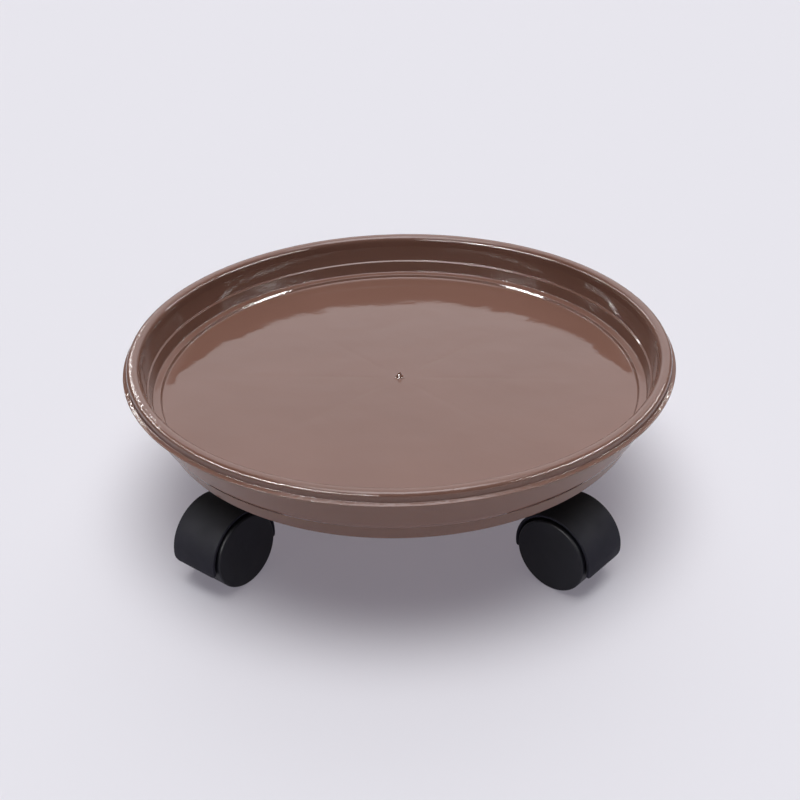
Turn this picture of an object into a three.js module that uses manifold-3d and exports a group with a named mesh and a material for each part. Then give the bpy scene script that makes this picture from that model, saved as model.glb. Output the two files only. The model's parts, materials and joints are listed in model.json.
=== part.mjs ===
// Plant pot caddy: a round moulded tray on four swivelling twin-wheel casters.
// Millimetres, +Z up. The origin is on the ground, under the centre of the tray.
import * as THREE from "three";
import { mergeVertices } from "three/addons/utils/BufferGeometryUtils.js";
import Module from "manifold-3d";

const wasm = await Module();
wasm.setup();

// Clearance left between two pieces that touch in the real object.
const GAP = 0.3;
const SMALL_SEGMENTS = 16;
// How far a joined piece is buried in its neighbour, and how far a cut runs past a face.
const BURY = 0.5;
const OVERSHOOT = 1;

// Tray, with heights above the ground.
const TRAY = {
  segments: 60,
  lipRadius: 150,
  lipInnerRadius: 147.7,
  lipZ: 84.3,
  lipEdge: 0.9,
  lipEdgeZ: 86.2,
  rimTopZ: 90.5,
  rimRound: 3.4,
  rimSteps: 3,
  rimOuterCentre: 145.7,
  rimInnerCentre: 144.3,
  rimInnerRadius: 140.6,
  rimHollowRadius: 144.7,
  rimHollowZ: 88.3,
  rimHollowOuterRadius: 146.4,
  rimHollowOuterZ: 86.5,
  wallTopZ: 85.8,
  wall: 2.2,
  wallStepRadius: 137.5,
  wallStepZ: 74.8,
  wallStepDepth: 0.9,
  wallStepHeight: 0.5,
  wallMiddleRadius: 140.1,
  wallFootRadius: 137.8,
  wallFootZ: 65.6,
  footRoundRadius: 135.8,
  footRoundZ: 62.6,
  footWidth: 1.4,
  ledgeOuterRadius: 136.2,
  ledgeInnerRadius: 132.1,
  ledgeZ: 68,
  floorRadius: 127.6,
  floorZ: 66.2,
  undersideZ: 63.8,
  skirtRadius: 131.8,
  skirtThickness: 2.3,
  skirtTopZ: 60.9,
  skirtBottomZ: 53.4,
};

// Stiffening ribs under the tray floor: straight ones from a hub ring to the skirt, and one ring.
const RIB = { count: 8, thickness: 1.8, bottomZ: 57, hubRadius: 14, ringRadius: 60 };

// Twin-wheel caster. Its own X runs from the swivel axis towards the trailing side, Y along the axle.
const WHEEL = {
  segments: 24,
  radius: 20,
  inner: 5,
  outer: 16.1,
  edge: 1.1,
  face: 2.5,
  rim: 2.3,
  hubRadius: 5.4,
};
const AXLE = { radius: 2, halfLength: 13.3 };
const HOOD = {
  trail: 14.5,
  innerRadius: 21.1,
  outerRadius: 22.7,
  halfWidth: 14.45,
  trailingEnd: 13.4,
  leadingEnd: 15.1,
  curveSegments: 18,
  webHalf: 4.7,
  bossRadius: 6.4,
  neckRadius: 7,
  neckTopZ: 45.2,
  pinFloorZ: 24,
};
const STEM = { lowerRadius: 3, upperRadius: 4, topZ: 60.5, chamfer: 1 };
const GROOVE = { bottomZ: 55.2, height: 1.8, radius: 3.2 };
const WASHER = { bottomZ: HOOD.neckTopZ + GAP, height: 1.4, radius: 7.4 };
const BUSH = {
  bottomZ: WASHER.bottomZ + WASHER.height + GAP,
  flange: 1.2,
  flangeRadius: 8.2,
  bore: 4.6,
  radius: 5.8,
  topZ: 61.7,
};

// Bosses under the tray floor, each with a blind socket for a bush.
const BOSS = {
  radius: 10.5,
  bottomZ: BUSH.bottomZ + BUSH.flange + GAP,
  socketRadius: BUSH.radius + GAP,
  socketTopZ: BUSH.topZ + GAP,
};

// Swivel axes stand on one circle. Angles in degrees run from the front (-Y) towards the right (+X).
const SWIVEL_CIRCLE = 111.5;
const CASTERS = [
  { name: "front_left", at: -45, trailing: -34.9 },
  { name: "front_right", at: 45, trailing: 51.1 },
  { name: "rear_right", at: 135, trailing: 127 },
  { name: "rear_left", at: -135, trailing: -141 },
];

const LOOKS = {
  tray: { color: 0x8a6b5f, roughness: 0.28, metalness: 0 },
  hood: { color: 0x26262b, roughness: 0.5, metalness: 0 },
  wheel: { color: 0x1a1a1d, roughness: 0.55, metalness: 0 },
  bush: { color: 0x1f1f22, roughness: 0.6, metalness: 0 },
  steel: { color: 0xb4b6ba, roughness: 0.3, metalness: 1 },
};

const QUARTER_TURN = Math.PI / 2;
const radians = (degrees) => (degrees * Math.PI) / 180;

// Welds shared corners, drops collapsed triangles and turns every face outwards.
function welded(geometry) {
  const bare = geometry.clone();
  bare.deleteAttribute("normal");
  bare.deleteAttribute("uv");
  const mesh = mergeVertices(bare, 1e-4);
  const place = mesh.attributes.position;
  const corners = mesh.index.array;
  const triangles = [];
  let volume = 0;
  for (let i = 0; i < corners.length; i += 3) {
    const [p, q, r] = corners.slice(i, i + 3);
    if (p !== q && q !== r && r !== p) {
      const [a, b, c] = [p, q, r].map((corner) => new THREE.Vector3().fromBufferAttribute(place, corner));
      triangles.push([p, q, r]);
      volume += a.dot(b.cross(c));
    }
  }
  mesh.setIndex(triangles.flatMap(([p, q, r]) => (volume < 0 ? [p, r, q] : [p, q, r])));
  return mesh;
}

function toSolid(geometry) {
  const mesh = welded(geometry);
  const vertProperties = new Float32Array(mesh.attributes.position.array);
  const triVerts = new Uint32Array(mesh.index.array);
  return new wasm.Manifold(new wasm.Mesh({ numProp: 3, vertProperties, triVerts }));
}

// Joins the first list of geometries, then cuts away the second.
function carve(bodies, cuts) {
  const joined = bodies.map(toSolid).reduce((whole, part) => whole.add(part));
  const solid = cuts.map(toSolid).reduce((whole, part) => whole.subtract(part), joined);
  const mesh = solid.getMesh();
  const geometry = new THREE.BufferGeometry();
  geometry.setAttribute("position", new THREE.BufferAttribute(new Float32Array(mesh.vertProperties), 3));
  geometry.setIndex(new THREE.BufferAttribute(new Uint32Array(mesh.triVerts), 1));
  return geometry;
}

// Solid of revolution about Z from [radius, height] points.
function revolve(points, segments) {
  const outline = points.map(([r, z]) => new THREE.Vector2(r, z));
  return new THREE.LatheGeometry(outline, segments).rotateX(QUARTER_TURN);
}

function rod(radius, bottom, top, segments = SMALL_SEGMENTS) {
  return revolve([[0, bottom], [radius, bottom], [radius, top], [0, top]], segments);
}

// Points on an arc in the radius/height plane, with angles in degrees from the outward direction.
function arc(r, z, size, from, to, steps) {
  return Array.from({ length: steps + 1 }, (_, i) => {
    const angle = radians(from + ((to - from) * i) / steps);
    return [r + size * Math.cos(angle), z + size * Math.sin(angle)];
  });
}

// Tray section, from the middle of the underside out, over the rim and back to the middle of the floor.
function traySection() {
  const t = TRAY;
  const skirtInner = t.skirtRadius - t.skirtThickness;
  const roundZ = t.rimTopZ - t.rimRound;
  const ring = (r) => [
    [r - RIB.thickness / 2, t.undersideZ],
    [r - RIB.thickness / 2, RIB.bottomZ],
    [r + RIB.thickness / 2, RIB.bottomZ],
    [r + RIB.thickness / 2, t.undersideZ],
  ];
  const underside = [[0, t.undersideZ], ...ring(RIB.hubRadius), ...ring(RIB.ringRadius)];
  const skirt = [
    [skirtInner, t.undersideZ],
    [skirtInner, t.skirtBottomZ],
    [t.skirtRadius, t.skirtBottomZ],
    [t.skirtRadius, t.skirtTopZ],
  ];
  const outerWall = [
    [t.skirtRadius + t.footWidth, t.skirtTopZ],
    [t.footRoundRadius, t.footRoundZ],
    [t.wallFootRadius, t.wallFootZ],
    [t.wallMiddleRadius, t.wallStepZ],
    [t.rimInnerRadius + t.wall, t.wallTopZ],
  ];
  const lip = [
    [t.rimHollowRadius, t.rimHollowZ],
    [t.rimHollowOuterRadius, t.rimHollowOuterZ],
    [t.lipInnerRadius, t.lipZ],
    [t.lipRadius, t.lipZ],
    [t.lipRadius - t.lipEdge, t.lipEdgeZ],
  ];
  const rim = [
    ...arc(t.rimOuterCentre, roundZ, t.rimRound, 15, 90, t.rimSteps),
    ...arc(t.rimInnerCentre, roundZ, t.rimRound, 90, 165, t.rimSteps),
  ];
  const innerWall = [
    [t.rimInnerRadius, t.lipZ],
    [t.wallStepRadius + t.wallStepDepth, t.wallStepZ + t.wallStepHeight],
    [t.wallStepRadius, t.wallStepZ],
    [t.ledgeOuterRadius, t.ledgeZ],
    [t.ledgeInnerRadius, t.ledgeZ],
    [t.floorRadius, t.floorZ],
    [0, t.floorZ],
  ];
  return [...underside, ...skirt, ...outerWall, ...lip, ...rim, ...innerWall];
}

function swivelPoint(caster) {
  const angle = radians(caster.at);
  return [SWIVEL_CIRCLE * Math.sin(angle), -SWIVEL_CIRCLE * Math.cos(angle)];
}

function trayGeometry() {
  const outerEnd = TRAY.skirtRadius - TRAY.skirtThickness / 2;
  const ribHeight = TRAY.undersideZ + BURY - RIB.bottomZ;
  const ribs = Array.from({ length: RIB.count }, (_, i) =>
    new THREE.BoxGeometry(outerEnd - RIB.hubRadius, RIB.thickness, ribHeight)
      .translate((outerEnd + RIB.hubRadius) / 2, 0, RIB.bottomZ + ribHeight / 2)
      .rotateZ((2 * Math.PI * i) / RIB.count),
  );
  const boss = rod(BOSS.radius, BOSS.bottomZ, TRAY.undersideZ + BURY);
  const socket = rod(BOSS.socketRadius, BOSS.bottomZ - OVERSHOOT, BOSS.socketTopZ);
  const atSwivels = (shape) => CASTERS.map((caster) => shape.clone().translate(...swivelPoint(caster), 0));
  return carve([revolve(traySection(), TRAY.segments), ...ribs, ...atSwivels(boss)], atSwivels(socket));
}

// Moves a geometry made around the Z axis so that it lies along the axle.
function ontoAxle(geometry) {
  return geometry.rotateX(QUARTER_TURN).translate(HOOD.trail, 0, WHEEL.radius);
}

// Plate with a side outline seen along the axle, centred between the wheels.
function sidePlate(shape, halfWidth) {
  const options = { depth: 2 * halfWidth, bevelEnabled: false, curveSegments: HOOD.curveSegments };
  return ontoAxle(new THREE.ExtrudeGeometry(shape, options).translate(0, 0, -halfWidth));
}

// Hood: a curved cover over both wheels, a middle web with the axle bore, and the neck for the stem.
function hoodGeometry() {
  const h = HOOD;
  const from = -radians(h.trailingEnd);
  const to = Math.PI + radians(h.leadingEnd);
  const insideCover = (h.innerRadius + h.outerRadius) / 2;
  const cover = new THREE.Shape();
  cover.absarc(0, 0, h.outerRadius, from, to, false);
  cover.absarc(0, 0, h.innerRadius, to, from, true);
  const web = new THREE.Shape();
  web.absarc(0, 0, insideCover, from, to, false);
  const axleBoss = ontoAxle(rod(h.bossRadius, -h.webHalf, h.webHalf));
  const wheelRoom = ontoAxle(rod(insideCover, -h.halfWidth, h.halfWidth, 2 * h.curveSegments));
  const neck = carve([rod(h.neckRadius, WHEEL.radius, h.neckTopZ)], [wheelRoom]);
  const pinHole = rod(STEM.lowerRadius + GAP, h.pinFloorZ, h.neckTopZ + OVERSHOOT);
  const axleHole = ontoAxle(rod(AXLE.radius + GAP, -h.halfWidth, h.halfWidth));
  const bodies = [sidePlate(cover, h.halfWidth), sidePlate(web, h.webHalf), axleBoss, neck];
  return carve(bodies, [pinHole, axleHole]);
}

// Wheel around the Z axis: a closed outer face at the top, and an open inner side with a hub.
function wheelGeometry() {
  const w = WHEEL;
  const bore = AXLE.radius + GAP;
  const underFace = w.outer - w.face;
  const section = [
    [0, underFace],
    [bore, underFace],
    [bore, w.inner],
    [w.hubRadius, w.inner],
    [w.hubRadius, underFace],
    [w.radius - w.rim, underFace],
    [w.radius - w.rim, w.inner],
    [w.radius, w.inner],
    ...arc(w.radius - w.edge, w.outer - w.edge, w.edge, 0, 90, 2),
    [0, w.outer],
  ];
  return revolve(section, w.segments);
}

function stemGeometry() {
  const s = STEM;
  const grooveTopZ = GROOVE.bottomZ + GROOVE.height;
  const section = [
    [0, HOOD.pinFloorZ + GAP],
    [s.lowerRadius, HOOD.pinFloorZ + GAP],
    [s.lowerRadius, WASHER.bottomZ],
    [s.upperRadius, WASHER.bottomZ],
    [s.upperRadius, GROOVE.bottomZ],
    [GROOVE.radius, GROOVE.bottomZ],
    [GROOVE.radius, grooveTopZ],
    [s.upperRadius, grooveTopZ],
    [s.upperRadius, s.topZ - s.chamfer],
    [s.upperRadius - s.chamfer, s.topZ],
    [0, s.topZ],
  ];
  return revolve(section, SMALL_SEGMENTS);
}

// Split spring ring in the groove of the stem.
function gripRingGeometry() {
  const opening = radians(25);
  const shape = new THREE.Shape();
  shape.absarc(0, 0, BUSH.bore - GAP, opening, 2 * Math.PI - opening, false);
  shape.absarc(0, 0, GROOVE.radius + GAP, 2 * Math.PI - opening, opening, true);
  const options = { depth: GROOVE.height - 2 * GAP, bevelEnabled: false, curveSegments: SMALL_SEGMENTS / 2 };
  return new THREE.ExtrudeGeometry(shape, options).translate(0, 0, GROOVE.bottomZ + GAP);
}

function washerGeometry() {
  const bore = STEM.upperRadius + GAP;
  const topZ = WASHER.bottomZ + WASHER.height;
  const section = [
    [bore, WASHER.bottomZ],
    [WASHER.radius, WASHER.bottomZ],
    [WASHER.radius, topZ],
    [bore, topZ],
    [bore, WASHER.bottomZ],
  ];
  return revolve(section, SMALL_SEGMENTS);
}

function bushGeometry() {
  const b = BUSH;
  const section = [
    [b.bore, b.bottomZ],
    [b.flangeRadius, b.bottomZ],
    [b.flangeRadius, b.bottomZ + b.flange],
    [b.radius, b.bottomZ + b.flange],
    [b.radius, b.topZ],
    [b.bore, b.topZ],
    [b.bore, b.bottomZ],
  ];
  return revolve(section, SMALL_SEGMENTS);
}

function addMesh(parent, name, geometry, look) {
  const faceted = welded(geometry).toNonIndexed();
  faceted.computeVertexNormals();
  const mesh = new THREE.Mesh(faceted, new THREE.MeshStandardMaterial(look));
  mesh.name = name;
  parent.add(mesh);
  return mesh;
}

// One caster, made around its swivel axis with the trailing side towards +X.
function casterGroup(name) {
  const caster = new THREE.Group();
  addMesh(caster, `${name}_socket_bush`, bushGeometry(), LOOKS.bush);
  addMesh(caster, `${name}_thrust_washer`, washerGeometry(), LOOKS.steel);
  addMesh(caster, `${name}_stem`, stemGeometry(), LOOKS.steel);
  addMesh(caster, `${name}_grip_ring`, gripRingGeometry(), LOOKS.steel);
  addMesh(caster, `${name}_hood`, hoodGeometry(), LOOKS.hood);

  const onAxle = [
    addMesh(caster, `${name}_axle`, rod(AXLE.radius, -AXLE.halfLength, AXLE.halfLength), LOOKS.steel),
    addMesh(caster, `${name}_wheel_left`, wheelGeometry(), LOOKS.wheel),
    addMesh(caster, `${name}_wheel_right`, wheelGeometry(), LOOKS.wheel),
  ];
  const turns = [-QUARTER_TURN, -QUARTER_TURN, QUARTER_TURN];
  onAxle.forEach((mesh, i) => {
    mesh.position.set(HOOD.trail, 0, WHEEL.radius);
    mesh.rotation.x = turns[i];
  });
  return caster;
}

const caddy = new THREE.Group();
addMesh(caddy, "tray", trayGeometry(), LOOKS.tray);
for (const place of CASTERS) {
  const caster = casterGroup(place.name);
  caster.position.set(...swivelPoint(place), 0);
  caster.rotation.z = radians(place.trailing) - QUARTER_TURN;
  caddy.add(caster);
}

export default caddy;
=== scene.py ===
"""Plant pot caddy: a round moulded tray on four hooded twin-wheel casters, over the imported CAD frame."""
import json
import math

import bmesh
import bpy
from mathutils import Matrix, Vector, noise


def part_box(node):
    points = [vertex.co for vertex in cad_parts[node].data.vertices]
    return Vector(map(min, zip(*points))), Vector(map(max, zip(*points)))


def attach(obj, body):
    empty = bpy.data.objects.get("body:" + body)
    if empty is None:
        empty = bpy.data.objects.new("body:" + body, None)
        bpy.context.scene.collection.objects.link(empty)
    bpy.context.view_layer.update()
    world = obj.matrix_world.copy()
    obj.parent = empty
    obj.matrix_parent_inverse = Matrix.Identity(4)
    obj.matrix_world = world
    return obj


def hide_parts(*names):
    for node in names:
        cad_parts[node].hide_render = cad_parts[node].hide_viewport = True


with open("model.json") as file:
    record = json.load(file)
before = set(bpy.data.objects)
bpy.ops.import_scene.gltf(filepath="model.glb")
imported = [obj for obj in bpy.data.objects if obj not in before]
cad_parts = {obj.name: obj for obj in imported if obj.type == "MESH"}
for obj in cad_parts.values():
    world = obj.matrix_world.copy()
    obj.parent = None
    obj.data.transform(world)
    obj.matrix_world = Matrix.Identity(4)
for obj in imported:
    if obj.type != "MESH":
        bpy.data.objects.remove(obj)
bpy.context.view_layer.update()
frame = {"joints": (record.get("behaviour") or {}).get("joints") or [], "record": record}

MM = 0.001
JOINTS = {joint["name"]: joint for joint in frame["joints"]}
CASTERS = ("front_left", "front_right", "rear_right", "rear_left")
# Points closer than this, in millimetres, are one point after pieces have been joined or cut.
WELD = 0.004

# Camera: it stands a little to the right of the front, at this distance (metres) and elevation from the
# middle of the lip circle, and aims slightly below that point.
LENS_MM = 55.5
SENSOR_MM = 36
CAMERA_DISTANCE = 0.6818
CAMERA_ELEVATION = math.radians(28.34)
CAMERA_AZIMUTH = math.radians(3.5)
CAMERA_DIP = math.radians(2.37)
CAMERA_ROLL = math.radians(1.32)

# Tray, in millimetres: heights above the ground, and radii, worked out from the box of the CAD tray.
TRAY_LOW, TRAY_HIGH = (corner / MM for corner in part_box("tray"))
LIP_RADIUS = TRAY_HIGH.x
RIM_TOP = TRAY_HIGH.z
BOSS_BOTTOM = TRAY_LOW.z
LIP_Z = RIM_TOP - 6.2
FLOOR_Z = RIM_TOP - 24.3
UNDERSIDE_Z = FLOOR_Z - 2.4
SKIRT_BOTTOM = RIM_TOP - 37.1
FLOOR_RADIUS = LIP_RADIUS - 22.4
SKIRT_RADIUS = LIP_RADIUS - 18.2
HUB_RING = 14
RIB_RING = 60
RIB_BOTTOM = UNDERSIDE_Z - 6.8
RIB_COUNT = 8
BOSS_RADIUS = 10.5
SOCKET_RADIUS = 6.1
SOCKET_TOP = FLOOR_Z - 4.2

# Depths of the sink marks over the ribs and rings, and of the waves of the floor, in millimetres.
RIB_SINK, RIB_SINK_WIDTH = 0.05, 1.6
RING_SINK, RING_SINK_WIDTH = 0.045, 2.2
LONG_WAVE, LONG_WAVE_SIZE = 0.05, 22
SHORT_WAVE, SHORT_WAVE_SIZE = 0.012, 9

# Caster, in millimetres around its upright swivel axis, with the wheels trailing towards +X.
# Angles go around the wheel axle, in degrees up from +X.
GROUND_TO_AXLE = 20
TRAIL = 14.5
COVER_INNER, COVER_OUTER = 21.1, 22.7
COVER_START, COVER_END = -13.4, 195.1
COVER_HALF_WIDTH = 14.45
COVER_CORNER = 3
COVER_SOFT = 0.55
WEB_RADIUS = 21.9
WEB_START, WEB_END = -12.8, 194.5
WEB_HALF = 4.7
AROUND_STEPS = 52
AXLE_RADIUS, AXLE_HOLE = 2, 2.3
AXLE_HALF_LENGTH = 13.3
WHEEL_INNER_FACE, WHEEL_OUTER_FACE = 5.0, 16.1
WHEEL_DISC = 13.6
NECK_RADIUS, NECK_BOTTOM, NECK_TOP = 7, 22, 45.2
PIN_HOLE = 3.3
RING_MIDDLE, RING_HEIGHT = 3.9, 56.1
RING_START, RING_SWEEP = 25, 310


# ---------------------------------------------------------------- mesh helpers

def new_object(name, bm, smooth_angle=35):
    """Object from a bmesh drawn in millimetres, smooth shaded with sharp edges kept."""
    bmesh.ops.remove_doubles(bm, verts=bm.verts, dist=1e-4)
    bmesh.ops.recalc_face_normals(bm, faces=bm.faces)
    bmesh.ops.scale(bm, vec=Vector((MM, MM, MM)), verts=bm.verts)
    mesh = bpy.data.meshes.new(name)
    bm.to_mesh(mesh)
    bm.free()
    piece = bpy.data.objects.new(name, mesh)
    bpy.context.scene.collection.objects.link(piece)
    smooth(mesh, smooth_angle)
    return piece


def smooth(mesh, angle):
    """Smooth shading, with edges sharper than the angle kept crisp."""
    mesh.polygons.foreach_set("use_smooth", [True] * len(mesh.polygons))
    mesh.set_sharp_from_angle(angle=math.radians(angle))
    mesh.update()


def rounded(corners, step=12):
    """Outline through (x, y, radius) corners, each one replaced by an arc of its radius."""
    outline = []
    for i, corner in enumerate(corners):
        x, y, radius = (*corner, 0)[:3]
        here = Vector((x, y))
        if radius == 0 or i in (0, len(corners) - 1):
            outline.append(here)
            continue
        before = Vector(corners[i - 1][:2]) - here
        after = Vector(corners[i + 1][:2]) - here
        half = before.angle(after) / 2
        reach = min(radius / math.tan(half), 0.49 * before.length, 0.49 * after.length)
        size = reach * math.tan(half)
        before.normalize()
        after.normalize()
        centre = here + (before + after).normalized() * size / math.sin(half)
        start = here + before * reach - centre
        end = here + after * reach - centre
        turn = start.angle_signed(end)
        count = max(1, math.ceil(abs(turn) / math.radians(step)))
        outline += [centre + Matrix.Rotation(-turn * k / count, 2) @ start for k in range(count + 1)]
    return outline


def spin(bm, outline, segments, centre=(0, 0)):
    """Surface of revolution of an (r, z) outline that starts and ends on the axis or closes on itself."""
    rings = []
    closed = outline[0][0] > 1e-6 and math.dist(outline[0][:2], outline[-1][:2]) < 1e-6
    for point in outline[:-1] if closed else outline:
        if point[0] < 1e-6:
            rings.append([bm.verts.new((*centre, point[1]))])
            continue
        ring = []
        for k in range(segments):
            angle = 2 * math.pi * k / segments
            x = centre[0] + point[0] * math.cos(angle)
            y = centre[1] + point[0] * math.sin(angle)
            ring.append(bm.verts.new((x, y, point[1])))
        rings.append(ring)
    if closed:
        rings.append(rings[0])
    for low, high in zip(rings, rings[1:]):
        for k in range(segments):
            following = (k + 1) % segments
            if len(low) == 1 and len(high) == 1:
                continue
            if len(low) == 1:
                bm.faces.new((low[0], high[following], high[k]))
            elif len(high) == 1:
                bm.faces.new((low[k], low[following], high[0]))
            else:
                bm.faces.new((low[k], low[following], high[following], high[k]))


def turned(name, corners, segments=96, step=15):
    """Turned shape standing upright on the swivel axis."""
    bm = bmesh.new()
    spin(bm, rounded(corners, step), segments)
    return new_object(name, bm)


def mesh_union(piece, others, operation="UNION"):
    """Joins other objects into a piece, or cuts them from it, and removes them."""
    for other in others:
        modifier = piece.modifiers.new("join", "BOOLEAN")
        modifier.operation = operation
        modifier.solver = "EXACT"
        modifier.object = other
    apply_modifiers(piece)
    for other in others:
        bpy.data.objects.remove(other)
    clean(piece.data)
    return piece


def clean(mesh):
    """Welds the slivers that a cut leaves and turns every face outwards."""
    bm = bmesh.new()
    bm.from_mesh(mesh)
    bmesh.ops.remove_doubles(bm, verts=bm.verts, dist=WELD * MM)
    bmesh.ops.dissolve_degenerate(bm, edges=bm.edges, dist=WELD * MM)
    bmesh.ops.triangulate(bm, faces=[face for face in bm.faces if len(face.verts) > 4])
    bmesh.ops.dissolve_degenerate(bm, edges=bm.edges, dist=WELD * MM)
    bmesh.ops.recalc_face_normals(bm, faces=bm.faces)
    bm.to_mesh(mesh)
    bm.free()


def apply_modifiers(piece):
    """Makes the result of the modifiers the mesh of the piece."""
    depsgraph = bpy.context.evaluated_depsgraph_get()
    mesh = bpy.data.meshes.new_from_object(piece.evaluated_get(depsgraph), depsgraph=depsgraph)
    piece.modifiers.clear()
    old = piece.data
    piece.data = mesh
    bpy.data.meshes.remove(old)


def soften_edges(piece, width, angle=30, segments=2):
    """Rounds the sharp edges of a piece, as a moulding has them."""
    modifier = piece.modifiers.new("soften", "BEVEL")
    modifier.width = width * MM
    modifier.segments = segments
    modifier.limit_method = "ANGLE"
    modifier.angle_limit = math.radians(angle)
    modifier.use_clamp_overlap = True
    modifier.harden_normals = False
    apply_modifiers(piece)
    smooth(piece.data, 50)


# ---------------------------------------------------------------- materials

class Nodes:
    """Short way to build a node material round one Principled shader."""

    def __init__(self, name):
        self.material = bpy.data.materials.new(name)
        self.material.use_nodes = True
        self.tree = self.material.node_tree
        self.shader = self.tree.nodes["Principled BSDF"]
        self.place = self.add("ShaderNodeTexCoord").outputs["Object"]

    def add(self, kind, **settings):
        node = self.tree.nodes.new(kind)
        for key, value in settings.items():
            setattr(node, key, value)
        return node

    def link(self, source, target):
        self.tree.links.new(source, target)

    def set(self, **values):
        for key, value in values.items():
            self.shader.inputs[key.replace("_", " ")].default_value = value

    def noise(self, scale, detail=2.0, roughness=0.5, distortion=0.0):
        node = self.add("ShaderNodeTexNoise")
        node.inputs["Scale"].default_value = scale
        node.inputs["Detail"].default_value = detail
        node.inputs["Roughness"].default_value = roughness
        node.inputs["Distortion"].default_value = distortion
        self.link(self.place, node.inputs["Vector"])
        return node.outputs["Fac"]

    def radius(self):
        """Distance from the upright axis of the piece, in metres."""
        flat = self.add("ShaderNodeVectorMath", operation="MULTIPLY")
        flat.inputs[1].default_value = (1, 1, 0)
        self.link(self.place, flat.inputs[0])
        length = self.add("ShaderNodeVectorMath", operation="LENGTH")
        self.link(flat.outputs["Vector"], length.inputs[0])
        return length.outputs["Value"]

    def remap(self, value, from_low, from_high, to_low, to_high):
        node = self.add("ShaderNodeMapRange")
        self.link(value, node.inputs["Value"])
        limits = {"From Min": from_low, "From Max": from_high, "To Min": to_low, "To Max": to_high}
        for key, number in limits.items():
            node.inputs[key].default_value = number
        return node.outputs["Result"]

    def math(self, operation, a, b=None, clamp=False):
        node = self.add("ShaderNodeMath", operation=operation, use_clamp=clamp)
        for socket, value in zip(node.inputs, (a, b)):
            if value is None:
                continue
            if isinstance(value, (int, float)):
                socket.default_value = value
            else:
                self.link(value, socket)
        return node.outputs["Value"]

    def ramp(self, value, stops):
        node = self.add("ShaderNodeValToRGB")
        elements = node.color_ramp.elements
        while len(elements) < len(stops):
            elements.new(0.5)
        for element, (position, color) in zip(elements, stops):
            element.position = position
            element.color = (*color, 1)
        self.link(value, node.inputs["Fac"])
        return node.outputs["Color"]

    def bump(self, height, distance, strength=1.0, below=None):
        node = self.add("ShaderNodeBump")
        node.inputs["Strength"].default_value = strength
        node.inputs["Distance"].default_value = distance
        self.link(height, node.inputs["Height"])
        if below is not None:
            self.link(below, node.inputs["Normal"])
        return node.outputs["Normal"]


def linear(red, green, blue):
    """Linear colour from 0 to 255 display values."""
    def channel(value):
        value /= 255
        return value / 12.92 if value <= 0.04045 else ((value + 0.055) / 1.055) ** 2.4
    return tuple(channel(value) for value in (red, green, blue))


def tray_material():
    """Glossy brown moulded plastic: faint flow marks, an uneven gloss, a slightly wavy surface and a
    fine ripple on the bead and the ledge that breaks up highlights."""
    n = Nodes("glossy_brown_plastic")
    flow = n.noise(9, detail=4, roughness=0.55, distortion=0.6)
    shade = n.ramp(flow, ((0.25, linear(123, 90, 77)), (0.75, linear(130, 96, 83))))
    n.link(shade, n.shader.inputs["Base Color"])
    smudge = n.noise(38, detail=5, roughness=0.62)
    n.link(n.remap(smudge, 0.3, 0.72, 0.04, 0.085), n.shader.inputs["Roughness"])
    n.set(IOR=1.49)
    sag = n.bump(n.noise(38, detail=1), 0.0005)
    wave = n.bump(n.noise(150, detail=3, roughness=0.6), 0.0001, 0.8, below=sag)
    on_bead = n.remap(n.radius(), 0.1408, 0.1425, 0, 1)
    from_ledge = n.math("ABSOLUTE", n.math("SUBTRACT", n.radius(), 0.134))
    on_ledge = n.remap(from_ledge, 0.0022, 0.0034, 0.5, 0)
    uneven = n.math("SUBTRACT", n.noise(480, detail=1), 0.5)
    ripple = n.math("MULTIPLY", uneven, n.math("ADD", on_bead, on_ledge))
    n.link(n.bump(ripple, 0.00016, below=wave), n.shader.inputs["Normal"])
    return n.material


def black_plastic(name, dark, light, rough_low, rough_high, grain_depth, specular=0.24):
    """Satin black plastic with a fine moulded grain and a slightly uneven colour and gloss."""
    n = Nodes(name)
    cloud = n.noise(60, detail=5, roughness=0.6)
    n.link(n.ramp(cloud, ((0.3, linear(*dark)), (0.75, linear(*light)))), n.shader.inputs["Base Color"])
    n.link(n.remap(n.noise(130, detail=4), 0.3, 0.7, rough_low, rough_high), n.shader.inputs["Roughness"])
    n.set(IOR=1.5, Specular_IOR_Level=specular)
    grain = n.noise(4200, detail=3, roughness=0.7)
    n.link(n.bump(grain, grain_depth * MM, 0.8), n.shader.inputs["Normal"])
    return n.material


def steel_material():
    """Zinc-plated steel with turning marks and uneven brightness."""
    n = Nodes("zinc_plated_steel")
    cloud = n.noise(140, detail=4)
    shade = n.ramp(cloud, ((0.3, (0.42, 0.43, 0.44)), (0.7, (0.62, 0.63, 0.64))))
    n.link(shade, n.shader.inputs["Base Color"])
    n.set(Metallic=1.0)
    n.link(n.remap(n.noise(420, detail=3), 0.3, 0.7, 0.22, 0.42), n.shader.inputs["Roughness"])
    n.link(n.bump(n.noise(2500, detail=2), 0.00001, 0.6), n.shader.inputs["Normal"])
    return n.material


def floor_material():
    """Matt studio paper that glows a little, so that its shadows stay as pale as in a lit studio."""
    n = Nodes("studio_paper")
    n.set(Base_Color=(0.63, 0.635, 0.64, 1), Roughness=1.0, Specular_IOR_Level=0.0)
    n.set(Emission_Color=(0.99, 0.93, 1.09, 1), Emission_Strength=0.17)
    return n.material


# ---------------------------------------------------------------- tray

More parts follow.
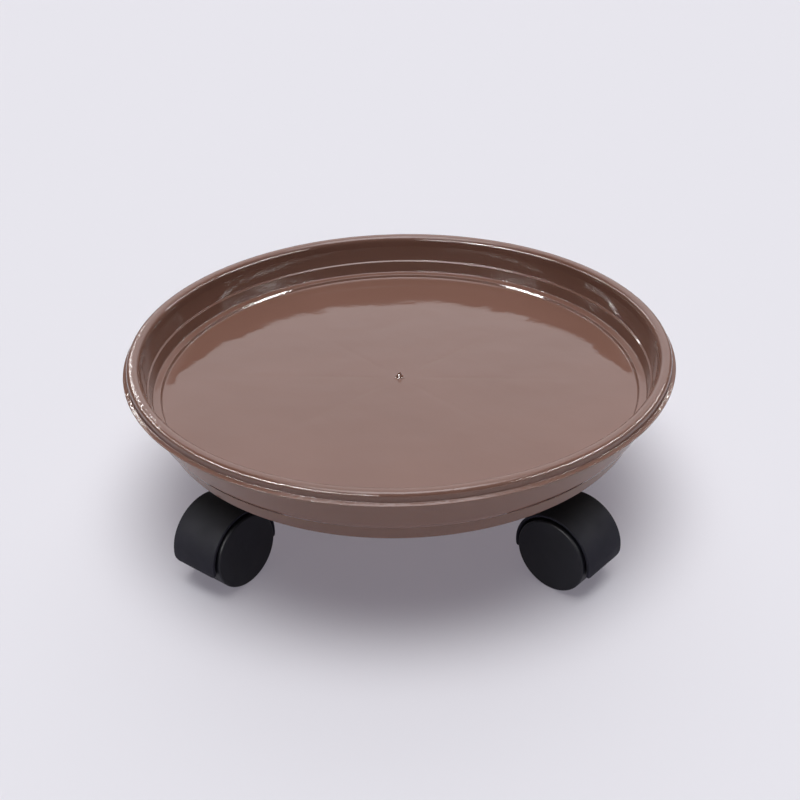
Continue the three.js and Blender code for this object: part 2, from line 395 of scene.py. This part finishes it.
def tray_outline():
    """Section of the tray: from the middle of its underside out, over the rim, to its floor."""
    inner = SKIRT_RADIUS - 2.3
    floor_rings = [(radius, FLOOR_Z, 0) for radius in range(120, 0, -4)]
    return [
        (0, UNDERSIDE_Z, 0),
        (inner, UNDERSIDE_Z, 1.2),
        (inner, SKIRT_BOTTOM, 0.5),
        (SKIRT_RADIUS, SKIRT_BOTTOM, 0.6),
        (SKIRT_RADIUS + 0.1, SKIRT_BOTTOM + 7.2, 0.3),
        (SKIRT_RADIUS + 1.5, SKIRT_BOTTOM + 7.5, 0.7),
        (LIP_RADIUS - 14.2, LIP_Z - 21.8, 3),
        (LIP_RADIUS - 11.7, LIP_Z - 18.4, 3),
        (LIP_RADIUS - 9.9, LIP_Z - 9.5, 6),
        (LIP_RADIUS - 7.1, LIP_Z + 0.5, 4),
        (LIP_RADIUS - 6.6, LIP_Z + 4.1, 1.4),
        (LIP_RADIUS - 3.6, LIP_Z + 3.4, 1.2),
        (LIP_RADIUS - 2.5, LIP_Z, 0.3),
        (LIP_RADIUS, LIP_Z, 0.4),
        (LIP_RADIUS, LIP_Z + 0.9, 0.4),
        (LIP_RADIUS - 2.1, LIP_Z + 1.45, 0.5),
        (LIP_RADIUS - 2.0, RIM_TOP, 2.4),
        (LIP_RADIUS - 9.0, RIM_TOP, 4.6),
        (LIP_RADIUS - 9.4, LIP_Z - 0.2, 1.0),
        (LIP_RADIUS - 11.5, LIP_Z - 8.9, 0.5),
        (LIP_RADIUS - 12.5, LIP_Z - 9.5, 0.35),
        (LIP_RADIUS - 13.8, LIP_Z - 16.3, 0.9),
        (LIP_RADIUS - 17.9, LIP_Z - 16.3, 0.6),
        (LIP_RADIUS - 18.8, FLOOR_Z, 1.0),
        (FLOOR_RADIUS, FLOOR_Z, 0),
        *floor_rings,
        (3.2, FLOOR_Z, 0.6),
        (1.9, FLOOR_Z + 0.4, 0.4),
        (0.5, FLOOR_Z + 3.4, 0.25),
        (0, FLOOR_Z + 3.7, 0),
    ]


def rib(angle, start, end):
    """Straight rib under the floor with a rounded lower edge and a flared root."""
    outline = rounded([
        (-2.2, UNDERSIDE_Z + 0.6, 0),
        (-2.2, UNDERSIDE_Z + 0.15, 0),
        (-0.95, UNDERSIDE_Z - 0.2, 0.9),
        (-0.65, RIB_BOTTOM, 0.4),
        (0.65, RIB_BOTTOM, 0.4),
        (0.95, UNDERSIDE_Z - 0.2, 0.9),
        (2.2, UNDERSIDE_Z + 0.15, 0),
        (2.2, UNDERSIDE_Z + 0.6, 0),
    ], step=30)
    bm = bmesh.new()
    ends = [[bm.verts.new((x, point[0], point[1])) for point in outline] for x in (start, end)]
    for k in range(len(outline)):
        after = (k + 1) % len(outline)
        bm.faces.new((ends[0][k], ends[0][after], ends[1][after], ends[1][k]))
    bm.faces.new(ends[0])
    bm.faces.new(ends[1][::-1])
    bmesh.ops.rotate(bm, verts=bm.verts, matrix=Matrix.Rotation(angle, 3, "Z"))
    return new_object("rib", bm)


def ring_rib(radius):
    """Stiffening ring under the floor, flared where it meets the underside."""
    half = 0.9
    top = UNDERSIDE_Z + 0.8
    bottom = RIB_BOTTOM + 0.25
    bm = bmesh.new()
    outline = rounded([
        (radius, top, 0),
        (radius - 2.4, top, 0),
        (radius - 2.4, UNDERSIDE_Z + 0.2, 0),
        (radius - half, UNDERSIDE_Z - 0.2, 0.9),
        (radius - half + 0.25, bottom, 0.4),
        (radius + half - 0.25, bottom, 0.4),
        (radius + half, UNDERSIDE_Z - 0.2, 0.9),
        (radius + 2.4, UNDERSIDE_Z + 0.2, 0),
        (radius + 2.4, top, 0),
        (radius, top, 0),
    ], step=30)
    spin(bm, outline, 144)
    return new_object("ring", bm)


def boss(x, y):
    """Round boss under the floor that holds the socket of a caster."""
    bm = bmesh.new()
    outline = rounded([
        (0, BOSS_BOTTOM, 0),
        (BOSS_RADIUS, BOSS_BOTTOM, 0.5),
        (BOSS_RADIUS + 0.2, UNDERSIDE_Z - 0.2, 1.2),
        (BOSS_RADIUS + 1.9, UNDERSIDE_Z + 0.25, 0),
        (BOSS_RADIUS + 1.9, UNDERSIDE_Z + 1.0, 0),
        (0, UNDERSIDE_Z + 1.0, 0),
    ], step=20)
    spin(bm, outline, 64, centre=(x, y))
    return new_object("boss", bm)


def socket_cut(x, y):
    """Shape of the blind socket in a boss, with a lead-in at its mouth."""
    bm = bmesh.new()
    outline = rounded([
        (0, BOSS_BOTTOM - 1, 0),
        (SOCKET_RADIUS + 1, BOSS_BOTTOM - 1, 0),
        (SOCKET_RADIUS, BOSS_BOTTOM + 0.5, 0),
        (SOCKET_RADIUS, SOCKET_TOP, 0),
        (0, SOCKET_TOP, 0),
    ])
    spin(bm, outline, 64, centre=(x, y))
    return new_object("socket", bm)


def sink_marks(mesh):
    """Shallow dips in the floor over the ribs, and the slight waviness of a moulded sheet."""
    for vertex in mesh.vertices:
        x, y, z = vertex.co / MM
        radius = math.hypot(x, y)
        if z < FLOOR_Z - 0.05 or z > FLOOR_Z + 0.2 or radius > FLOOR_RADIUS - 1 or radius < 2:
            continue
        half_gap = math.pi / RIB_COUNT
        across = radius * math.sin((math.atan2(y, x) + half_gap) % (2 * half_gap) - half_gap)
        dip = 0
        if radius > HUB_RING:
            dip = RIB_SINK * math.exp(-(across / RIB_SINK_WIDTH) ** 2)
        for ring in (HUB_RING, RIB_RING):
            dip += RING_SINK * math.exp(-((radius - ring) / RING_SINK_WIDTH) ** 2)
        ripple = noise.noise(Vector((x, y, 0)) / LONG_WAVE_SIZE) * LONG_WAVE
        ripple += noise.noise(Vector((x, y, 9)) / SHORT_WAVE_SIZE) * SHORT_WAVE
        vertex.co.z += (ripple - dip) * min(1, (FLOOR_RADIUS - radius) / 6) * MM


def tray_piece():
    """The whole tray with its ribs, rings, bosses and sockets, as one solid."""
    bm = bmesh.new()
    spin(bm, rounded(tray_outline(), step=18), 240)
    tray = new_object("tray_moulding", bm)
    spots = [Vector(JOINTS[f"{name}_swivel"]["pos_m"]) / MM for name in CASTERS]
    outer_end = SKIRT_RADIUS - 1.5
    ribs = [rib(2 * math.pi * k / RIB_COUNT, HUB_RING, outer_end) for k in range(RIB_COUNT)]
    rings = [ring_rib(radius) for radius in (HUB_RING, RIB_RING)]
    bosses = [boss(spot.x, spot.y) for spot in spots]
    mesh_union(tray, ribs + rings + bosses)
    mesh_union(tray, [socket_cut(spot.x, spot.y) for spot in spots], "DIFFERENCE")
    sink_marks(tray.data)
    smooth(tray.data, 38)
    return tray


# ---------------------------------------------------------------- caster, around its swivel axis

def around_axle(radius, angle, across):
    """Point at a radius and an angle (radians) around the wheel axle."""
    return (TRAIL + radius * math.cos(angle), across, GROUND_TO_AXLE + radius * math.sin(angle))


def plate_outline(low, high, half_width, corner):
    """Rectangle with four rounded corners, drawn flat."""
    centres = (
        (high - corner, half_width - corner), (low + corner, half_width - corner),
        (low + corner, corner - half_width), (high - corner, corner - half_width),
    )
    points = []
    for quarter, (x, y) in enumerate(centres):
        for step in range(7):
            turn = math.radians(90 * quarter + 15 * step)
            points.append((x + corner * math.cos(turn), y + corner * math.sin(turn)))
    return points


def bent_cover():
    """Cover of the wheels: a plate with rounded corners and soft edges, bent around the axle."""
    length = COVER_OUTER * math.radians(COVER_END - COVER_START)
    thickness = COVER_OUTER - COVER_INNER
    turns = [math.radians(30 * k) for k in range(4)]
    edge = [(COVER_SOFT * (1 - math.sin(turn)), COVER_SOFT * (1 - math.cos(turn))) for turn in turns]
    edge += [(inset, thickness - height) for inset, height in reversed(edge)]
    bm = bmesh.new()
    loops = []
    for inset, height in edge:
        outline = plate_outline(inset, length - inset, COVER_HALF_WIDTH - inset, COVER_CORNER - inset)
        loops.append([bm.verts.new((x, y, height)) for x, y in outline])
    count = len(loops[0])
    for lower, upper in zip(loops, loops[1:]):
        for k in range(count):
            after = (k + 1) % count
            bm.faces.new((lower[k], lower[after], upper[after], upper[k]))
    bm.faces.new(loops[0])
    bm.faces.new(loops[-1])
    for k in range(1, AROUND_STEPS):
        geometry = bm.verts[:] + bm.edges[:] + bm.faces[:]
        cut_at = (length * k / AROUND_STEPS, 0, 0)
        bmesh.ops.bisect_plane(bm, geom=geometry, plane_co=cut_at, plane_no=(1, 0, 0))
    for vert in bm.verts:
        along, across, height = vert.co
        angle = math.radians(COVER_START) + along / COVER_OUTER
        vert.co = around_axle(COVER_INNER + height, angle, across)
    bmesh.ops.triangulate(bm, faces=[face for face in bm.faces if len(face.verts) > 4])
    return new_object("hood", bm)


def middle_web():
    """Web between the wheels: a flat plate, round over the top and cut straight across below."""
    step = (WEB_END - WEB_START) / AROUND_STEPS
    angles = [math.radians(WEB_START + step * k) for k in range(AROUND_STEPS + 1)]
    bm = bmesh.new()
    sides = []
    for across in (-WEB_HALF, WEB_HALF):
        sides.append([bm.verts.new(around_axle(WEB_RADIUS, angle, across)) for angle in angles])
    for k in range(len(angles)):
        after = (k + 1) % len(angles)
        bm.faces.new((sides[0][k], sides[0][after], sides[1][after], sides[1][k]))
    for side in sides:
        bm.faces.new(side)
    web = new_object("web", bm)
    soften_edges(web, 0.4, segments=3)
    return web


def along_axle(name, corners, segments=64):
    """Turned shape lying along the axle; heights in the outline run towards +Y."""
    bm = bmesh.new()
    spin(bm, rounded(corners), segments)
    turn = Matrix.Translation((TRAIL, 0, GROUND_TO_AXLE)) @ Matrix.Rotation(-math.pi / 2, 4, "X")
    bmesh.ops.transform(bm, matrix=turn, verts=bm.verts)
    return new_object(name, bm)


def rod_corners(radius, low, high, edge=0.3):
    """Outline of a plain rod with rounded ends."""
    return [(0, low, 0), (radius, low, edge), (radius, high, edge), (0, high, 0)]


def hood_piece():
    """Cover, middle web, axle boss and neck of a caster in one moulding, with its two holes."""
    hood = bent_cover()
    web = middle_web()
    axle_boss = along_axle("axle_boss", rod_corners(6.4, -WEB_HALF - 0.1, WEB_HALF + 0.1, 0.4))
    neck = turned("neck", rod_corners(NECK_RADIUS, NECK_BOTTOM, NECK_TOP, 0.5))
    room_end = COVER_HALF_WIDTH - 0.95
    room_corners = rod_corners(COVER_INNER + 0.65, -room_end, room_end, 0)
    wheel_room = along_axle("wheel_room", room_corners, segments=96)
    mesh_union(neck, [wheel_room], "DIFFERENCE")
    mesh_union(hood, [web, axle_boss, neck])
    pin_hole = turned("pin_hole", rod_corners(PIN_HOLE, NECK_BOTTOM + 2, NECK_TOP + 1, 0))
    axle_hole = along_axle("axle_hole", rod_corners(AXLE_HOLE, -6, 6, 0))
    mesh_union(hood, [pin_hole, axle_hole], "DIFFERENCE")
    smooth(hood.data, 40)
    return hood


def wheel_piece():
    """Left wheel: a smooth closed disc outside, and a hub, rim and ribs inside."""
    wheel = along_axle("wheel", [
        (0, WHEEL_DISC, 0), (AXLE_HOLE, WHEEL_DISC, 0), (AXLE_HOLE, WHEEL_INNER_FACE, 0.3),
        (5.4, WHEEL_INNER_FACE, 0.4), (5.6, WHEEL_DISC, 0.8), (17.4, WHEEL_DISC, 0.8),
        (17.7, WHEEL_INNER_FACE, 0.4), (GROUND_TO_AXLE, WHEEL_INNER_FACE, 0.6),
        (GROUND_TO_AXLE, WHEEL_OUTER_FACE, 1.1), (0, WHEEL_OUTER_FACE, 0),
    ], segments=128)
    ribs = []
    for k in range(6):
        bm = bmesh.new()
        bmesh.ops.create_cube(bm, size=1)
        bmesh.ops.scale(bm, vec=Vector((13, 7.6, 1.2)), verts=bm.verts)
        bmesh.ops.translate(bm, vec=Vector((11.6, 10, 0)), verts=bm.verts)
        turn = Matrix.Translation((TRAIL, 0, GROUND_TO_AXLE)) @ Matrix.Rotation(math.pi * k / 3, 4, "Y")
        bmesh.ops.transform(bm, matrix=turn, verts=bm.verts)
        ribs.append(new_object("wheel_rib", bm))
    mesh_union(wheel, ribs)
    smooth(wheel.data, 40)
    return wheel


def grip_ring_piece():
    """Split spring ring with a rounded section."""
    bm = bmesh.new()
    steps = 48
    sides = 10
    loops = []
    for k in range(steps + 1):
        angle = math.radians(RING_START + RING_SWEEP * k / steps)
        loop = []
        for m in range(sides):
            turn = 2 * math.pi * m / sides
            radius = RING_MIDDLE + 0.38 * math.cos(turn)
            height = RING_HEIGHT + 0.55 * math.sin(turn)
            loop.append(bm.verts.new((radius * math.cos(angle), radius * math.sin(angle), height)))
        loops.append(loop)
    for first, second in zip(loops, loops[1:]):
        for m in range(sides):
            after = (m + 1) % sides
            bm.faces.new((first[m], first[after], second[after], second[m]))
    bm.faces.new(loops[0])
    bm.faces.new(loops[-1][::-1])
    return new_object("grip_ring", bm)


def caster_masters():
    """One of each caster piece, to be copied to every caster."""
    mirror = Matrix.Scale(-1, 4, Vector((0, 1, 0)))
    left = wheel_piece()
    right = left.copy()
    right.data = left.data.copy()
    right.data.transform(mirror)
    right.data.flip_normals()
    bpy.context.scene.collection.objects.link(right)
    return {
        "socket_bush": turned("bush", [
            (4.6, 47.2, 0), (8.2, 47.2, 0.3), (8.2, 48.4, 0.3), (5.8, 48.4, 0.2), (5.8, 61.7, 0.5),
            (4.6, 61.7, 0.3), (4.6, 47.2, 0),
        ]),
        "thrust_washer": turned("washer", [
            (4.3, 45.5, 0), (7.4, 45.5, 0.3), (7.4, 46.9, 0.3), (4.3, 46.9, 0.2), (4.3, 45.5, 0),
        ]),
        "stem": turned("stem", [
            (0, 24.3, 0), (3, 24.3, 0.5), (3, 45.5, 0.1), (4, 45.5, 0.2), (4, 55.2, 0.15), (3.2, 55.2, 0.2),
            (3.2, 57, 0.2), (4, 57, 0.15), (4, 59.5, 0.4), (3, 60.5, 0.3), (0, 60.5, 0),
        ]),
        "grip_ring": grip_ring_piece(),
        "hood": hood_piece(),
        "axle": along_axle("axle", rod_corners(AXLE_RADIUS, -AXLE_HALF_LENGTH, AXLE_HALF_LENGTH, 0.4)),
        "wheel_left": left,
        "wheel_right": right,
    }


def place_casters(masters, looks):
    """Copies the caster pieces to each swivel axis, turned the way that caster trails in the CAD."""
    bodies = frame["record"]["behaviour"]["bodies"]
    for caster in CASTERS:
        swivel = Vector(JOINTS[f"{caster}_swivel"]["pos_m"])
        axle = Vector(JOINTS[f"{caster}_wheel_left_spin"]["pos_m"])
        trailing = axle - swivel
        place = Matrix.Translation((swivel.x, swivel.y, 0))
        place = place @ Matrix.Rotation(math.atan2(trailing.y, trailing.x), 4, "Z")
        for kind, master in masters.items():
            slot, material = looks[kind]
            piece = master.copy()
            piece.data = master.data.copy()
            piece.name = f"{caster}_{kind}_piece"
            piece.data.name = piece.name
            bpy.context.scene.collection.objects.link(piece)
            piece.matrix_world = place
            piece.data.materials.clear()
            piece.data.materials.append(material)
            node = f"{caster}_{kind}"
            body = next(name for name, nodes in bodies.items() if node in nodes)
            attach(piece, body)
            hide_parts(node)
    for master in masters.values():
        bpy.data.objects.remove(master)


# ---------------------------------------------------------------- studio

# The studio is a dim room with soft light from behind, from above and, weakly, from below. Each soft light
# is full within one angle of its direction and gone beyond another, in degrees. Camera rays that leave the
# scene see a plain pale backdrop instead.
ROOM_LIGHT = 0.06
ROOM_TINT = (0.97, 0.96, 1.0, 1)
BACKDROP = 0.84
SOFT_LIGHTS = (
    {"toward": (0, 0.82, 0.57), "full": 18, "none": 36, "strength": 1.2},
    {"toward": (0, 0, -1.0), "full": 60, "none": 88, "strength": 0.6},
    {"toward": (0, 0, 1.0), "full": 6, "none": 31, "strength": 5.8},
)
# Long narrow lights that only show as highlights on the gloss: the azimuth of each, in degrees from the
# front towards the right, and its power in watts. Sizes and distance are in metres.
HIGHLIGHTS = ((-132, 4), (-92, 7), (-56, 17), (-32, 20), (72, 18), (116, 7))
HIGHLIGHT_ELEVATION = 32
HIGHLIGHT_DISTANCE = 1.5
HIGHLIGHT_SIZE = (1.15, 0.045)
PAPER_RADIUS = 6000


class Sky:
    """World shader: the brightness of the studio around the scene, by direction."""

    def __init__(self):
        self.world = bpy.data.worlds.new("studio_world")
        self.world.use_nodes = True
        self.tree = self.world.node_tree
        self.direction = self.tree.nodes.new("ShaderNodeTexCoord").outputs["Generated"]

    def facing(self, toward):
        node = self.tree.nodes.new("ShaderNodeVectorMath")
        node.operation = "DOT_PRODUCT"
        node.inputs[1].default_value = Vector(toward).normalized()
        self.tree.links.new(self.direction, node.inputs[0])
        return node.outputs["Value"]

    def step(self, value, none, full):
        node = self.tree.nodes.new("ShaderNodeMapRange")
        node.interpolation_type = "SMOOTHSTEP"
        node.inputs["From Min"].default_value = none
        node.inputs["From Max"].default_value = full
        self.tree.links.new(value, node.inputs["Value"])
        return node.outputs["Result"]

    def math(self, operation, a, b):
        node = self.tree.nodes.new("ShaderNodeMath")
        node.operation = operation
        self.tree.links.new(a, node.inputs[0])
        if isinstance(b, float):
            node.inputs[1].default_value = b
        else:
            self.tree.links.new(b, node.inputs[1])
        return node.outputs["Value"]

    def soft_light(self, toward, full, none, strength):
        cosines = (math.cos(math.radians(angle)) for angle in (none, full))
        return self.math("MULTIPLY", self.step(self.facing(toward), *cosines), float(strength))

    def finish(self, lights):
        total = lights[0]
        for light in lights[1:]:
            total = self.math("ADD", total, light)
        total = self.math("ADD", total, ROOM_LIGHT)
        seen = self.tree.nodes.new("ShaderNodeLightPath").outputs["Is Camera Ray"]
        backdrop = self.tree.nodes.new("ShaderNodeMix")
        backdrop.inputs["B"].default_value = BACKDROP
        self.tree.links.new(seen, backdrop.inputs["Factor"])
        self.tree.links.new(total, backdrop.inputs["A"])
        background = self.tree.nodes["Background"]
        background.inputs["Color"].default_value = ROOM_TINT
        self.tree.links.new(backdrop.outputs["Result"], background.inputs["Strength"])
        bpy.context.scene.world = self.world


def add_highlight(azimuth, power):
    """One long narrow light facing the caddy."""
    data = bpy.data.lights.new("highlight", "AREA")
    data.shape = "RECTANGLE"
    data.size, data.size_y = HIGHLIGHT_SIZE
    data.energy = power
    light = bpy.data.objects.new("highlight", data)
    around, up = math.radians(azimuth), math.radians(HIGHLIGHT_ELEVATION)
    toward = Vector((math.sin(around) * math.cos(up), -math.cos(around) * math.cos(up), math.sin(up)))
    light.location = toward * HIGHLIGHT_DISTANCE
    light.rotation_euler = toward.to_track_quat("Z", "Y").to_euler()
    light.visible_diffuse = False
    bpy.context.scene.collection.objects.link(light)


def studio():
    """Paper floor, soft lights and highlights."""
    bm = bmesh.new()
    bmesh.ops.create_circle(bm, cap_ends=True, segments=96, radius=PAPER_RADIUS)
    floor = new_object("studio_floor", bm)
    floor.data.materials.append(floor_material())
    sky = Sky()
    sky.finish([sky.soft_light(**light) for light in SOFT_LIGHTS])
    for azimuth, power in HIGHLIGHTS:
        add_highlight(azimuth, power)
    bpy.context.scene.view_settings.view_transform = "Standard"


def add_camera():
    """Camera a little to the right of the front, looking down at the tray."""
    camera = bpy.data.objects.new("camera", bpy.data.cameras.new("camera"))
    camera.data.lens = LENS_MM
    camera.data.sensor_width = SENSOR_MM
    camera.data.clip_start = 0.01
    flat = CAMERA_DISTANCE * math.cos(CAMERA_ELEVATION)
    camera.location = (
        flat * math.sin(CAMERA_AZIMUTH),
        -flat * math.cos(CAMERA_AZIMUTH),
        LIP_Z * MM + CAMERA_DISTANCE * math.sin(CAMERA_ELEVATION),
    )
    tilt = math.pi / 2 - CAMERA_ELEVATION - CAMERA_DIP
    aim = Matrix.Rotation(CAMERA_AZIMUTH, 3, "Z") @ Matrix.Rotation(tilt, 3, "X")
    camera.rotation_euler = (aim @ Matrix.Rotation(-CAMERA_ROLL, 3, "Z")).to_euler()
    bpy.context.scene.collection.objects.link(camera)
    bpy.context.scene.camera = camera


tray_look = tray_material()
hood_look = black_plastic("satin_black_hood", (34, 33, 44), (41, 40, 52), 0.62, 0.72, 0.012, specular=0.12)
wheel_look = black_plastic("smooth_black_wheel", (23, 23, 31), (29, 29, 39), 0.42, 0.52, 0.006)
bush_look = black_plastic("black_bush_plastic", (22, 22, 24), (30, 30, 33), 0.5, 0.65, 0.01)
steel_look = steel_material()

tray = tray_piece()
tray.data.materials.clear()
tray.data.materials.append(tray_look)
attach(tray, "tray_body")
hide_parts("tray")

place_casters(caster_masters(), {
    "socket_bush": ("bush", bush_look),
    "thrust_washer": ("steel", steel_look),
    "stem": ("steel", steel_look),
    "grip_ring": ("steel", steel_look),
    "hood": ("hood", hood_look),
    "axle": ("steel", steel_look),
    "wheel_left": ("wheel", wheel_look),
    "wheel_right": ("wheel", wheel_look),
})

studio()
add_camera()

bpy.context.view_layer.update()
